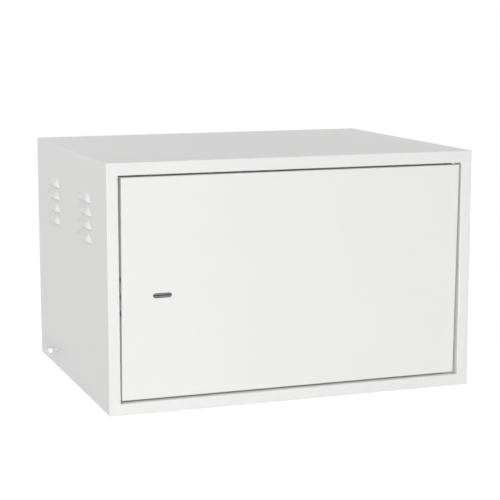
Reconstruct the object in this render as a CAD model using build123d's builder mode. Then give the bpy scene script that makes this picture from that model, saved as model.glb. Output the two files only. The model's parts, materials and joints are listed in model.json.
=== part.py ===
from build123d import *
import math
import os

# Wall cabinet for rack equipment: a welded sheet-steel box with louvred sides, a folded front frame and a
# flush door that turns on two hidden pivot pins and is held by a key-worked lever lock.
# Millimetres. X runs right, Y runs back, Z runs up. The origin is the middle of the casing's underside.

os.makedirs("parts", exist_ok=True)

# Casing
casing_width = 600.0
casing_depth = 470.0
casing_height = 382.0
sheet = 1.5
corner_radius = 2.0
rear_flange = 14.0
panel_clearance = 0.2

# Front frame, folded from the same sheet: face, jamb and stop lip
frame_side = 18.0
frame_head = 19.3
frame_foot = 18.2
jamb_depth = 32.0
stop_lip = 12.0
bend_radius = 2.0
edge_radius = 1.2

# Louvres, pressed out of both side panels with their mouths down
louvre_length = 80.0
louvre_crest = 54.0
louvre_rise = 14.0
louvre_reach = 7.0
louvre_wall = 1.2
louvre_pitch = 20.6
louvre_rows = 4
louvre_head_margin = 69.6
louvre_front_margin = 133.0
louvre_rear_margin = 125.5
louvre_shear = 0.5

# Door leaf, a folded pan that hangs deeper in the frame at its foot than at its head
gap_latch = 4.2
gap_hinge = 3.2
gap_head = 2.7
gap_foot = 1.7
leaf_depth = 18.0
leaf_lip = 12.0
head_set_in = 0.2
foot_set_in = 8.7
stiffener_width = 60.0
stiffener_depth = 12.0
stiffener_flange = 15.0
stiffener_spread = 210.0
stiffener_offset = 45.0

# Pivots of the door
pivot_inset = 8.0
pivot_depth = 7.5
pin_radius = 3.5
pin_engagement = 9.0
pin_head_radius = 5.0
pin_head_height = 3.0
pin_fit = 0.05
running_gap = 0.08
bush_wall = 1.2
bush_rim = 0.9
bush_flange = 0.8
bush_seat_gap = 0.2
pivot_plate_length = 36.0
pivot_plate_thickness = 3.0

# Key place on the leaf: from its latch edge, and below its middle
key_inset = 63.6
key_drop = 10.5
keyhole_length = 30.0
keyhole_height = 7.8

# Lever lock behind the leaf
lock_gap = 0.5
lock_tail = 36.0
lock_height = 90.0
lock_depth = 21.0
lock_wall = 1.5
lock_plate = 2.5
lock_ear = 14.0
lock_cover_thickness = 1.5
curtain_radius = 18.4
curtain_thickness = 2.0
curtain_gap = 0.3
curtain_slit_length = 27.0
curtain_slit_height = 1.2
curtain_ring_overlap = 2.4
curtain_ring_width = 7.0
curtain_ring_thickness = 1.0

# Lock bolt: a plate with two arms and three round throws
throw_radius = 5.0
throw_pitch = 26.0
throw_count = 3
throw_travel = 14.0
throw_set_back = 0.5
throw_clearance = 0.4
bolt_plate = 4.0
bolt_centre_depth = 10.0
bolt_bar_width = 12.0
bolt_bar_inset = 21.3
bolt_bar_overlap = 6.0
bolt_arm_height = 8.0
bolt_arm_rise = 26.0
bolt_arm_length = 48.0
stump_radius = 2.5
stump_set_back = 4.0
guide_gap = 0.3
guide_length = 30.0

# Levers on their post, and the comb spring above them
lever_count = 4
lever_thickness = 1.2
lever_gap = 0.35
lever_start_gap = 0.6
lever_length = 52.0
lever_above = 10.0
lever_below = 15.0
lever_eye_radius = 7.0
lever_post_radius = 3.0
lever_post_across = 26.0
lever_lift_degrees = 3.0
gate_clearance = 0.8
spring_thickness = 0.5
spring_clearance = 0.4
spring_contact = 40.0
spring_foot = 16.0

# Lock fasteners
lock_stud_radius = 2.5
lock_stud_spread = 70.0
lock_stud_inset = 6.0
lock_stud_end = 2.5
lock_nut_across = 8.0
lock_nut_height = 4.0
cover_screw_radius = 1.5
cover_screw_length = 8.0
cover_screw_head_radius = 2.8
cover_screw_head = 1.6
cover_post_radius = 3.5
cover_post_inset = 6.0
screw_fit = 0.1

# Strike plate behind the latch jamb, and the door buffers on the stop lip
strike_thickness = 3.0
strike_margin = 10.0
strike_depth = 24.0
strike_clearance = 0.8
buffer_radius = 5.0
buffer_gap = 0.3
buffer_end_distance = 62.0
buffer_stem_radius = 2.0
buffer_stem_length = 3.0
buffer_stem_fit = 0.05

# Rack rails of the 19-inch pattern, and the supports that carry them on the side panels
rack_hole_spread = 465.1
rack_clear_width = 450.0
rack_unit = 44.45
rack_end_room = 15.0
rack_unit_holes = (6.35, 22.225, 38.1)
rack_hole_square = 9.5
rail_sheet = 2.0
rail_face = 21.5
rail_leg = 35.0
rail_bend_radius = 3.0
rail_margin = 9.5
rail_set_back = 70.0
support_leg = 25.0
support_from_front = 56.0
support_from_rear = 24.0
support_end_distance = 23.0
support_slot_length = 40.0
support_slot_count = 3
rail_bolt_radius = 3.0
rail_bolt_clearance = 0.3
rail_bolt_rise = 14.0
rail_bolt_from_face = 20.0
rail_bolt_head_across = 10.0
rail_bolt_head = 4.0
rail_nut_height = 5.0
rail_bolt_end = 1.0

# Earthing stud on the left side panel
ground_depth = 345.0
ground_height = 31.0
ground_radius = 4.0
ground_length = 20.0
ground_head_across = 13.0
ground_head = 5.3
ground_nut_height = 6.5
ground_nut_from_wall = 10.6
ground_washer_radius = 7.0
ground_washer_thickness = 1.6
ground_fit = 0.05
chamfer_size = 0.6

# Rear panel: wall anchor holes, and the cable entry with its plate and grommets
anchor_spread_x = 500.0
anchor_spread_z = 260.0
anchor_height = 191.0
anchor_radius = 4.5
entry_width = 150.0
entry_height = 52.0
entry_corner = 8.0
entry_from_foot = 74.0
entry_plate_border = 15.0
grommet_spread = 76.0
grommet_radius = 17.0
grommet_lip = 3.0
grommet_lip_thickness = 1.5
grommet_groove_gap = 0.05
membrane_thickness = 1.0
entry_screw_radius = 2.0
entry_screw_inset = 7.0
entry_screw_head_radius = 3.8
entry_screw_head = 2.2

# Places worked out from the sizes above
half_width = casing_width / 2
front = -casing_depth / 2
rear = casing_depth / 2
opening_head = casing_height - frame_head
leaf_left = -half_width + frame_side + gap_latch
leaf_right = half_width - frame_side - gap_hinge
leaf_foot = frame_foot + gap_foot
leaf_head = opening_head - gap_head
leaf_width = leaf_right - leaf_left
leaf_middle = (leaf_left + leaf_right) / 2
lean = math.atan2(foot_set_in - head_set_in, leaf_head - leaf_foot)
leaf_height = (leaf_head - leaf_foot) / math.cos(lean)
leaf = Plane(
    origin=(0, front + foot_set_in, leaf_foot),
    x_dir=(1, 0, 0),
    z_dir=(0, -math.cos(lean), -math.sin(lean)),
)
pivot_across = leaf_right - pivot_inset
key_across = leaf_left + key_inset
key_up = leaf_height / 2 - key_drop
bush_radius = pin_radius + running_gap + bush_wall
buffer_heights = (leaf_foot + buffer_end_distance, leaf_head - buffer_end_distance)
rack_units = int((opening_head - frame_foot - 2 * rack_end_room) / rack_unit)
rack_foot = (frame_foot + opening_head - rack_unit * rack_units) / 2
rail_foot = rack_foot - rail_margin
rail_head = rack_foot + rack_unit * rack_units + rail_margin
rail_outside = rack_clear_width / 2 + rail_face
rail_front = front + rail_set_back
rail_bolt_y = rail_front + rail_bolt_from_face
support_webs = {"lower": rail_foot + support_end_distance, "upper": rail_head - support_end_distance}
entry_screw_spread_x = entry_width + 2 * (entry_plate_border - entry_screw_inset)
entry_screw_spread_z = entry_height + 2 * (entry_plate_border - entry_screw_inset)
ground_y = front + ground_depth


def write(piece, name):
    """Name a finished piece and write it as its own file."""
    piece.part.label = name
    export_step(piece.part, f"parts/{name}.step")


def facing_front(y):
    """Plane across the cabinet at a depth y, facing the front, with X across and Z up."""
    return Plane.XZ.offset(-y)


def facing_left(x):
    """Plane along the cabinet at x, facing left, with -Y across and Z up."""
    return Plane(origin=(x, 0, 0), x_dir=(0, -1, 0), z_dir=(-1, 0, 0))


def in_leaf(depth):
    """Plane of the leaf, so far behind its face: X across, up the leaf from its foot."""
    return leaf.offset(-depth)


def across_leaf(across, up, depth):
    """Plane square to the leaf's height, with its origin at a point of the leaf."""
    point = leaf.from_local_coords(Vector(across, up, -depth))
    return Plane(origin=point, x_dir=leaf.x_dir, z_dir=leaf.y_dir)


def along_throw(across, up, depth):
    """Plane facing the latch side, with its origin at a point of the leaf and X up the leaf."""
    point = leaf.from_local_coords(Vector(across, up, -depth))
    return Plane(origin=point, x_dir=leaf.y_dir, z_dir=-leaf.x_dir)


def pivot_up_at(height):
    """Place along the pivot line, measured up the leaf, where it passes a height above the underside."""
    return (height - leaf_foot - pivot_depth * math.sin(lean)) / math.cos(lean)


# Corner planes on which the frame members and the panels are mitred, and the plane between head and foot
mid_height = Plane.XY.offset(casing_height / 2)
mitres = {
    "head_left": Plane(origin=(-half_width, 0, casing_height), z_dir=(frame_head, 0, frame_side)),
    "head_right": Plane(origin=(half_width, 0, casing_height), z_dir=(-frame_head, 0, frame_side)),
    "foot_left": Plane(origin=(-half_width, 0, 0), z_dir=(frame_foot, 0, -frame_side)),
    "foot_right": Plane(origin=(half_width, 0, 0), z_dir=(-frame_foot, 0, -frame_side)),
}


# Sleeve of the casing, from which the four mitred panels are cut
with BuildPart() as sleeve:
    with BuildSketch(facing_front(front + sheet)):
        with Locations((0, casing_height / 2)):
            RectangleRounded(casing_width, casing_height, corner_radius)
            RectangleRounded(
                casing_width - 2 * sheet,
                casing_height - 2 * sheet,
                corner_radius - sheet,
                mode=Mode.SUBTRACT,
            )
    extrude(amount=-(casing_depth - sheet))
    with BuildSketch(facing_front(rear - 2 * sheet)):
        with Locations((0, casing_height / 2)):
            Rectangle(casing_width - 2 * sheet, casing_height - 2 * sheet)
            Rectangle(
                casing_width - 2 * (sheet + rear_flange),
                casing_height - 2 * (sheet + rear_flange),
                mode=Mode.SUBTRACT,
            )
    extrude(amount=-sheet)


def louvre_hood(inset, mouth, sink):
    """Hipped hood of a louvre in its own axes: X along the wall, Y up from the mouth, Z out of the wall.
    inset thins the hood on every outer face, mouth carries it below the mouth and sink into the wall."""
    slope = math.hypot(louvre_reach, louvre_rise)
    reach = louvre_reach - inset * slope / louvre_rise
    rise = louvre_rise - inset * slope / louvre_reach
    with BuildPart() as hood:
        with BuildSketch(Plane.YZ):
            with BuildLine():
                Polyline(
                    (-mouth, -sink),
                    (rise, -sink),
                    (rise, 0),
                    (-mouth, reach * (1 + mouth / rise)),
                    close=True,
                )
            make_face()
        extrude(amount=louvre_length / 2, both=True)
        for side in (-1, 1):
            base = Vector(side * louvre_length / 2, 0, 0)
            head = Vector(side * louvre_crest / 2, louvre_rise, 0)
            lip = Vector(side * louvre_crest / 2, 0, louvre_reach)
            hip = Plane(origin=base, z_dir=(head - base).cross(lip - base) * side)
            split(bisect_by=hip.offset(-inset), keep=Keep.BOTTOM)
    return hood.part


louvre_outside = louvre_hood(0, 0, sheet / 2)
louvre_inside = louvre_hood(louvre_wall, louvre_shear, 2 * sheet)
louvre_columns = (front + louvre_front_margin, rear - louvre_rear_margin)
louvre_mouths = [casing_height - louvre_head_margin - row * louvre_pitch for row in range(louvre_rows)]
louvre_places = [
    Plane(origin=(-half_width, y, z), x_dir=(0, -1, 0), z_dir=(-1, 0, 0)).location
    for y in louvre_columns
    for z in louvre_mouths
]

# Louvred side panel, shown here for the left and mirrored for the right
with BuildPart() as louvred_side:
    add(sleeve.part)
    split(bisect_by=mitres["head_left"], keep=Keep.BOTTOM)
    split(bisect_by=mitres["foot_left"], keep=Keep.BOTTOM)
    with Locations(*louvre_places):
        add(louvre_outside)
    with Locations(*louvre_places):
        add(louvre_inside, mode=Mode.SUBTRACT)

with BuildPart() as left_side_panel:
    add(louvred_side.part)
    with BuildSketch(facing_left(-half_width)):
        with Locations((-ground_y, ground_height)):
            Circle(ground_radius + ground_fit)
    extrude(amount=-sheet, mode=Mode.SUBTRACT)
write(left_side_panel, "left_side_panel")

with BuildPart() as right_side_panel:
    mirror(louvred_side.part, about=Plane.YZ)
write(right_side_panel, "right_side_panel")

with BuildPart() as top_panel:
    add(sleeve.part)
    split(bisect_by=mitres["head_left"], keep=Keep.TOP)
    split(bisect_by=mitres["head_right"], keep=Keep.TOP)
    split(bisect_by=mid_height, keep=Keep.TOP)
write(top_panel, "top_panel")

with BuildPart() as bottom_panel:
    add(sleeve.part)
    split(bisect_by=mitres["foot_left"], keep=Keep.TOP)
    split(bisect_by=mitres["foot_right"], keep=Keep.TOP)
    split(bisect_by=mid_height, keep=Keep.BOTTOM)
write(bottom_panel, "bottom_panel")

# Rear panel, set into the sleeve against its rear flanges
with BuildPart() as rear_panel:
    with BuildSketch(facing_front(rear - sheet)):
        with Locations((0, casing_height / 2)):
            Rectangle(
                casing_width - 2 * (sheet + panel_clearance),
                casing_height - 2 * (sheet + panel_clearance),
            )
        with Locations((0, anchor_height)):
            with GridLocations(anchor_spread_x, anchor_spread_z, 2, 2):
                Circle(anchor_radius, mode=Mode.SUBTRACT)
        with Locations((0, entry_from_foot)):
            RectangleRounded(entry_width, entry_height, entry_corner, mode=Mode.SUBTRACT)
            with GridLocations(entry_screw_spread_x, entry_screw_spread_z, 2, 2):
                Circle(entry_screw_radius + screw_fit, mode=Mode.SUBTRACT)
    extrude(amount=-sheet)
write(rear_panel, "rear_panel")

# Cable entry plate on the inside of the rear panel
entry_plate_back = rear - sheet
with BuildPart() as cable_entry_plate:
    with BuildSketch(facing_front(entry_plate_back - sheet)):
        with Locations((0, entry_from_foot)):
            RectangleRounded(
                entry_width + 2 * entry_plate_border,
                entry_height + 2 * entry_plate_border,
                entry_corner,
            )
            with GridLocations(grommet_spread, 0, 2, 1):
                Circle(grommet_radius, mode=Mode.SUBTRACT)
            with GridLocations(entry_screw_spread_x, entry_screw_spread_z, 2, 2):
                Circle(entry_screw_radius + screw_fit, mode=Mode.SUBTRACT)
    extrude(amount=-sheet)
write(cable_entry_plate, "cable_entry_plate")

# Membrane grommets, each a grooved rubber ring closed by a thin skin
with BuildPart() as cable_grommets:
    for x in (-grommet_spread / 2, grommet_spread / 2):
        with BuildSketch(Plane(origin=(x, entry_plate_back - sheet, entry_from_foot), z_dir=(0, 0, 1))):
            with BuildLine():
                Polyline(
                    (0, 0),
                    (grommet_radius - grommet_lip, 0),
                    (grommet_radius - grommet_lip, -grommet_lip_thickness),
                    (grommet_radius + grommet_lip, -grommet_lip_thickness),
                    (grommet_radius + grommet_lip, -grommet_groove_gap),
                    (grommet_radius - grommet_groove_gap, -grommet_groove_gap),
                    (grommet_radius - grommet_groove_gap, sheet + grommet_groove_gap),
                    (grommet_radius + grommet_lip, sheet + grommet_groove_gap),
                    (grommet_radius + grommet_lip, sheet + grommet_lip_thickness),
                    (grommet_radius - grommet_lip, sheet + grommet_lip_thickness),
                    (grommet_radius - grommet_lip, membrane_thickness),
                    (0, membrane_thickness),
                    close=True,
                )
            make_face()
        revolve(axis=Axis((x, entry_plate_back, entry_from_foot), (0, 1, 0)))
write(cable_grommets, "cable_grommets")

# Screws of the cable entry plate, driven from inside
with BuildPart() as entry_screws:
    with BuildSketch(facing_front(entry_plate_back - sheet)):
        with Locations((0, entry_from_foot)):
            with GridLocations(entry_screw_spread_x, entry_screw_spread_z, 2, 2):
                Circle(entry_screw_head_radius)
    extrude(amount=entry_screw_head)
    screw_tops = entry_screws.faces().filter_by(Axis.Y).group_by(Axis.Y)[0]
    fillet(screw_tops.edges(), entry_screw_head / 2)
    with BuildSketch(facing_front(entry_plate_back - sheet)):
        with Locations((0, entry_from_foot)):
            with GridLocations(entry_screw_spread_x, entry_screw_spread_z, 2, 2):
                Circle(entry_screw_radius)
    extrude(amount=-2 * sheet)
write(entry_screws, "entry_screws")


def frame_member(start, inward, along, length, width, start_mitre, end_mitre):
    """One folded member of the front frame: face, jamb and stop lip, mitred at both ends."""
    with BuildPart() as member:
        with BuildSketch(Plane(origin=start, x_dir=inward, z_dir=along)) as section:
            with BuildLine():
                fold = FilletPolyline(
                    (0, 0),
                    (width, 0),
                    (width, jamb_depth),
                    (width + stop_lip, jamb_depth),
                    radius=[bend_radius, bend_radius - sheet],
                )
                offset(fold, amount=sheet, side=Side.LEFT)
            make_face()
            fillet(section.vertices().sort_by_distance((0, 0))[0], edge_radius)
        extrude(amount=length)
        split(bisect_by=start_mitre[0], keep=start_mitre[1])
        split(bisect_by=end_mitre[0], keep=end_mitre[1])
        with BuildSketch(facing_front(front)):
            with Locations((0, casing_height / 2)):
                RectangleRounded(casing_width, casing_height, corner_radius)
        extrude(amount=-(jamb_depth + 2 * sheet), mode=Mode.INTERSECT)
    return member.part


throw_ups = [key_up + (index - (throw_count - 1) / 2) * throw_pitch for index in range(throw_count)]

# Latch side of the frame, with a hole for each throw of the lock
with BuildPart() as left_frame_member:
    add(
        frame_member(
            (-half_width, front, 0),
            (1, 0, 0),
            (0, 0, 1),
            casing_height,
            frame_side,
            (mitres["foot_left"], Keep.BOTTOM),
            (mitres["head_left"], Keep.BOTTOM),
        )
    )
    for up in throw_ups:
        with BuildSketch(along_throw(leaf_left, up, bolt_centre_depth)):
            Circle(throw_radius + strike_clearance)
        extrude(amount=gap_latch + 2 * sheet, mode=Mode.SUBTRACT)
    for z in buffer_heights:
        with BuildSketch(facing_front(front + jamb_depth)):
            with Locations((-half_width + frame_side + stop_lip / 2, z)):
                Circle(buffer_stem_radius + buffer_stem_fit)
        extrude(amount=-sheet, mode=Mode.SUBTRACT)
write(left_frame_member, "left_frame_member")

with BuildPart() as right_frame_member:
    add(
        frame_member(
            (half_width, front, casing_height),
            (-1, 0, 0),
            (0, 0, -1),
            casing_height,
            frame_side,
            (mitres["head_right"], Keep.BOTTOM),
            (mitres["foot_right"], Keep.BOTTOM),
        )
    )
write(right_frame_member, "right_frame_member")

# Head and foot of the frame, each with a hole for a pivot bush
with BuildPart() as top_frame_member:
    add(
        frame_member(
            (-half_width, front, casing_height),
            (0, 0, -1),
            (1, 0, 0),
            casing_width,
            frame_head,
            (mitres["head_left"], Keep.TOP),
            (mitres["head_right"], Keep.TOP),
        )
    )
    with BuildSketch(across_leaf(pivot_across, leaf_height, pivot_depth)):
        Circle(bush_radius + pin_fit)
    extrude(amount=gap_head + 2 * sheet, mode=Mode.SUBTRACT)
write(top_frame_member, "top_frame_member")

with BuildPart() as bottom_frame_member:
    add(
        frame_member(
            (half_width, front, 0),
            (0, 0, 1),
            (-1, 0, 0),
            casing_width,
            frame_foot,
            (mitres["foot_right"], Keep.TOP),
            (mitres["foot_left"], Keep.TOP),
        )
    )
    with BuildSketch(across_leaf(pivot_across, 0, pivot_depth)):
        Circle(bush_radius + pin_fit)
    extrude(amount=-(gap_foot + 2 * sheet), mode=Mode.SUBTRACT)
write(bottom_frame_member, "bottom_frame_member")


def pivot_bush(seat, away):
    """Flanged bush on the pivot line. away is +1 where the bush stands up from the leaf, -1 where it
    hangs down, and seat is the height of the jamb face that the flange lies on."""
    seat_up = pivot_up_at(seat) - away * bush_seat_gap
    length = pin_engagement + sheet
    with BuildPart() as bush:
        with BuildSketch(across_leaf(pivot_across, seat_up, pivot_depth)):
            Circle(bush_radius + bush_rim)
        extrude(amount=-away * bush_flange)
        with BuildSketch(across_leaf(pivot_across, seat_up, pivot_depth)):
            Circle(bush_radius)
        extrude(amount=away * length)
        with BuildSketch(across_leaf(pivot_across, seat_up - away * bush_flange, pivot_depth)):
            Circle(pin_radius + running_gap)
        extrude(amount=away * (length + bush_flange), mode=Mode.SUBTRACT)
    return bush


write(pivot_bush(opening_head, 1), "upper_pivot_bush")
write(pivot_bush(frame_foot, -1), "lower_pivot_bush")


def pivot_pin(edge_up, away, reach):
    """Headed pin through the edge of the leaf. It stands out by reach beyond edge_up."""
    inner = edge_up - away * (sheet + pivot_plate_thickness)
    with BuildPart() as pin:
        with BuildSketch(across_leaf(pivot_across, inner, pivot_depth)):
            Circle(pin_radius)
        extrude(amount=away * (sheet + pivot_plate_thickness + reach))
        pin_end = pin.faces().sort_by(Axis(leaf.origin, leaf.y_dir * away))[-1]
        chamfer(pin_end.edges(), chamfer_size)
        with BuildSketch(across_leaf(pivot_across, inner, pivot_depth)):
            Circle(pin_head_radius)
        extrude(amount=-away * pin_head_height)
    return pin


def pivot_plate(edge_up, away):
    """Reinforcing plate welded inside the edge of the leaf round a pivot pin."""
    seat_up = edge_up - away * sheet
    middle = leaf_right - sheet - pivot_plate_length / 2
    with BuildPart() as plate:
        with BuildSketch(across_leaf(middle, seat_up, leaf_depth / 2)):
            Rectangle(pivot_plate_length, leaf_depth - 2 * sheet)
        extrude(amount=-away * pivot_plate_thickness)
        with BuildSketch(across_leaf(pivot_across, seat_up, pivot_depth)):
            Circle(pin_radius + pin_fit)
        extrude(amount=-away * pivot_plate_thickness, mode=Mode.SUBTRACT)
    return plate


upper_reach = pivot_up_at(opening_head) - leaf_height + pin_engagement
lower_reach = pin_engagement - pivot_up_at(frame_foot)
write(pivot_pin(leaf_height, 1, upper_reach), "upper_pivot_pin")
write(pivot_pin(0, -1, lower_reach), "lower_pivot_pin")
write(pivot_plate(leaf_height, 1), "upper_pivot_plate")
write(pivot_plate(0, -1), "lower_pivot_plate")

# Places of the lock on the leaf
case_left = leaf_left + sheet + lock_gap
case_right = key_across + lock_tail
case_width = case_right - case_left
case_middle = (case_left + case_right) / 2
lock_front = sheet
lock_back = sheet + lock_depth
throw_tip = leaf_left + throw_set_back
stud_rise = lock_height / 2 + lock_ear - lock_stud_inset

# Door leaf: a pan with lips at the back, the keyhole, and holes for the throws and the pivot pins
with BuildPart() as door_panel:
    with BuildSketch(in_leaf(0)):
        with Locations((leaf_middle, leaf_height / 2)):
            Rectangle(leaf_width, leaf_height)
    extrude(amount=-leaf_depth)
    leaf_face = door_panel.faces().sort_by(Axis(leaf.origin, leaf.z_dir))[-1]
    fillet(leaf_face.edges(), bend_radius)
    with BuildSketch(in_leaf(sheet)):
        with Locations((leaf_middle, leaf_height / 2)):
            Rectangle(leaf_width - 2 * sheet, leaf_height - 2 * sheet)
    extrude(amount=-(leaf_depth - 2 * sheet), mode=Mode.SUBTRACT)
    with BuildSketch(in_leaf(leaf_depth - sheet)):
        with Locations((leaf_middle, leaf_height / 2)):
            Rectangle(leaf_width - 2 * leaf_lip, leaf_height - 2 * leaf_lip)
        with Locations((leaf_left + sheet + leaf_lip, key_up)):
            Rectangle(2 * leaf_lip, 2 * (stud_rise + lock_stud_inset) + 2 * lock_gap)
    extrude(amount=-sheet, mode=Mode.SUBTRACT)
    with BuildSketch(in_leaf(0)):
        with Locations((key_across, key_up)):
            SlotOverall(keyhole_length, keyhole_height)
    extrude(amount=-sheet, mode=Mode.SUBTRACT)
    for up in throw_ups:
        with BuildSketch(along_throw(leaf_left, up, bolt_centre_depth)):
            Circle(throw_radius + throw_clearance)
        extrude(amount=-sheet, mode=Mode.SUBTRACT)
    with BuildSketch(across_leaf(pivot_across, 0, pivot_depth)):
        Circle(pin_radius + pin_fit)
    extrude(amount=sheet, mode=Mode.SUBTRACT)
    with BuildSketch(across_leaf(pivot_across, leaf_height, pivot_depth)):
        Circle(pin_radius + pin_fit)
    extrude(amount=-sheet, mode=Mode.SUBTRACT)
write(door_panel, "door_panel")


def door_stiffener(across):
    """Hat-section stiffener spot-welded upright on the back of the leaf's face."""
    half = stiffener_width / 2
    near = sheet
    far = sheet + stiffener_depth
    with BuildPart() as stiffener:
        with BuildSketch(across_leaf(across, leaf_lip, 0)):
            with BuildLine():
                fold = FilletPolyline(
                    (-half - stiffener_flange, near),
                    (-half, near),
                    (-half, far),
                    (half, far),
                    (half, near),
                    (half + stiffener_flange, near),
                    radius=[bend_radius, bend_radius - sheet, bend_radius - sheet, bend_radius],
                )
                offset(fold, amount=sheet, side=Side.LEFT)
            make_face()
        extrude(amount=leaf_height - 2 * leaf_lip)
    return stiffener


write(door_stiffener(stiffener_offset - stiffener_spread / 2), "left_door_stiffener")
write(door_stiffener(stiffener_offset + stiffener_spread / 2), "right_door_stiffener")

cover_post_spread_x = case_width - 2 * cover_post_inset
cover_post_spread_y = lock_height - 2 * cover_post_inset

# Lock case: a tray with fixing ears, a round seat for the key curtain, and guides for the bolt
with BuildPart() as lock_case:
    with BuildSketch(in_leaf(lock_front)):
        with Locations((case_middle, key_up)):
            Rectangle(case_width, lock_height + 2 * lock_ear)
            with GridLocations(lock_stud_spread, 2 * stud_rise, 2, 2):
                Circle(lock_stud_radius + screw_fit, mode=Mode.SUBTRACT)
        with Locations((key_across, key_up)):
            Circle(curtain_radius + running_gap, mode=Mode.SUBTRACT)
    extrude(amount=-lock_plate)
    with BuildSketch(in_leaf(lock_front + lock_plate)):
        with Locations((case_middle, key_up)):
            Rectangle(case_width, lock_height)
            Rectangle(case_width - 2 * lock_wall, lock_height - 2 * lock_wall, mode=Mode.SUBTRACT)
            with GridLocations(cover_post_spread_x, cover_post_spread_y, 2, 2):
                Circle(cover_post_radius)
    extrude(amount=-(lock_depth - lock_plate))
    with BuildSketch(in_leaf(lock_back)):
        with Locations((case_middle, key_up)):
            with GridLocations(cover_post_spread_x, cover_post_spread_y, 2, 2):
                Circle(cover_screw_radius + screw_fit)
    extrude(amount=cover_screw_length, mode=Mode.SUBTRACT)
    guide_height = bolt_centre_depth - bolt_plate / 2 - guide_gap - lock_front - lock_plate
    with BuildSketch(in_leaf(lock_front + lock_plate)):
        with Locations((throw_tip + bolt_bar_inset + bolt_bar_width + guide_length / 2, key_up)):
            with GridLocations(0, 2 * bolt_arm_rise, 1, 2):
                Rectangle(guide_length, bolt_arm_height)
    extrude(amount=-guide_height)
    for up in throw_ups:
        with BuildSketch(along_throw(case_left, up, bolt_centre_depth)):
            Circle(throw_radius + throw_clearance)
        extrude(amount=-lock_wall, mode=Mode.SUBTRACT)
write(lock_case, "lock_case")

# Lock cover, which closes the tray at the back
with BuildPart() as lock_cover:
    with BuildSketch(in_leaf(lock_back)):
        with Locations((case_middle, key_up)):
            Rectangle(case_width, lock_height)
            with GridLocations(cover_post_spread_x, cover_post_spread_y, 2, 2):
                Circle(cover_screw_radius + screw_fit, mode=Mode.SUBTRACT)
    extrude(amount=-lock_cover_thickness)
write(lock_cover, "lock_cover")

with BuildPart() as cover_screws:
    with BuildSketch(in_leaf(lock_back + lock_cover_thickness)):
        with Locations((case_middle, key_up)):
            with GridLocations(cover_post_spread_x, cover_post_spread_y, 2, 2):
                Circle(cover_screw_head_radius)
    extrude(amount=-cover_screw_head)
    with BuildSketch(in_leaf(lock_back + lock_cover_thickness)):
        with Locations((case_middle, key_up)):
            with GridLocations(cover_post_spread_x, cover_post_spread_y, 2, 2):
                Circle(cover_screw_radius)
    extrude(amount=cover_screw_length)
write(cover_screws, "cover_screws")

# Studs welded to the leaf, and the nuts that hold the lock on them
with BuildPart() as lock_studs:
    with BuildSketch(in_leaf(lock_front)):
        with Locations((case_middle, key_up)):
            with GridLocations(lock_stud_spread, 2 * stud_rise, 2, 2):
                Circle(lock_stud_radius)
    extrude(amount=-(lock_plate + lock_nut_height + lock_stud_end))
write(lock_studs, "lock_studs")

with BuildPart() as lock_nuts:
    with BuildSketch(in_leaf(lock_front + lock_plate)):
        with Locations((case_middle, key_up)):
            with GridLocations(lock_stud_spread, 2 * stud_rise, 2, 2):
                RegularPolygon(lock_nut_across / 2, 6, major_radius=False)
                Circle(lock_stud_radius + pin_fit, mode=Mode.SUBTRACT)
    extrude(amount=-lock_nut_height)
write(lock_nuts, "lock_nuts")

# Key curtain: a disc behind the keyhole with the slit that the key's bits pass
curtain_front = lock_front + curtain_gap
with BuildPart() as key_curtain:
    with BuildSketch(in_leaf(curtain_front)):
        with Locations((key_across, key_up)):
            Circle(curtain_radius)
            SlotOverall(curtain_slit_length, curtain_slit_height, mode=Mode.SUBTRACT)
    extrude(amount=-curtain_thickness)
write(key_curtain, "key_curtain")

with BuildPart() as curtain_ring:
    with BuildSketch(in_leaf(lock_front + lock_plate)):
        with Locations((key_across, key_up)):
            Circle(curtain_radius - curtain_ring_overlap + curtain_ring_width)
            Circle(curtain_radius - curtain_ring_overlap, mode=Mode.SUBTRACT)
            with GridLocations(0, 2 * bolt_arm_rise, 1, 2):
                Rectangle(case_width, bolt_arm_height + 2 * guide_gap, mode=Mode.SUBTRACT)
    extrude(amount=-curtain_ring_thickness)
write(curtain_ring, "curtain_ring")

# Lock bolt
bolt_front = bolt_centre_depth - bolt_plate / 2
bar_left = throw_tip + bolt_bar_inset
bar_right = bar_left + bolt_bar_width
bar_height = throw_pitch * (throw_count - 1) + 2 * bolt_bar_overlap
stump_across = key_across - stump_set_back
stump_up = key_up + bolt_arm_rise
lever_front = bolt_front + bolt_plate + lever_start_gap
lever_stack = lever_count * lever_thickness + (lever_count - 1) * lever_gap
with BuildPart() as lock_bolt:
    with BuildSketch(in_leaf(bolt_front)):
        with Locations(((bar_left + bar_right) / 2, key_up)):
            Rectangle(bolt_bar_width, bar_height)
        with Locations((bar_right + bolt_arm_length / 2, key_up)):
            with GridLocations(0, 2 * bolt_arm_rise, 1, 2):
                Rectangle(bolt_arm_length, bolt_arm_height)
    extrude(amount=-bolt_plate)
    for up in throw_ups:
        with BuildSketch(along_throw(bar_left + bolt_bar_overlap, up, bolt_centre_depth)):
            Circle(throw_radius)
        extrude(amount=bolt_bar_inset + bolt_bar_overlap)
    throw_ends = lock_bolt.faces().filter_by(Axis.X).group_by(Axis.X)[0]
    chamfer(throw_ends.edges(), chamfer_size)
    with BuildSketch(in_leaf(bolt_front + bolt_plate)):
        with Locations((stump_across, stump_up)):
            Circle(stump_radius)
    extrude(amount=-(lever_start_gap + lever_stack + lever_gap))
write(lock_bolt, "lock_bolt")

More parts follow.
